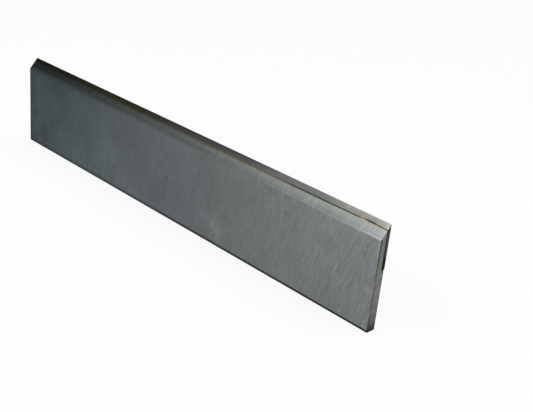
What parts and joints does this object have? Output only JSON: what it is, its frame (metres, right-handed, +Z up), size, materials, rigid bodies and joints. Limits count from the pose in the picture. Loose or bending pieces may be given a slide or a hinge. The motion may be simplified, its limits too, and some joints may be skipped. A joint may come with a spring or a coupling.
{
  "type": "planer knife",
  "caption": "Straight planer knife: a flat steel body with a carbide strip brazed along its top edge and one ground bevel across both.",
  "frame": {"origin": "middle of the foot, the narrow face opposite the cutting edge, which the knife stands on", "axes": "+X along the length, -Y out of the front face on the bevel side, +Y out of the back face on the carbide side, +Z up to the cutting edge"},
  "size_m": [0.16, 0.003, 0.03],
  "materials": {
    "ground_steel": "ground tool steel, grey, with fine marks from foot to edge",
    "carbide": "ground sintered tungsten carbide, darker grey on its unground ends",
    "copper_braze": "copper braze, partly tarnished dark"
  },
  "bodies": {
    "root": {"steel_body": "ground_steel", "carbide_strip": "carbide", "braze_seam": "copper_braze"}
  },
  "joints": []
}
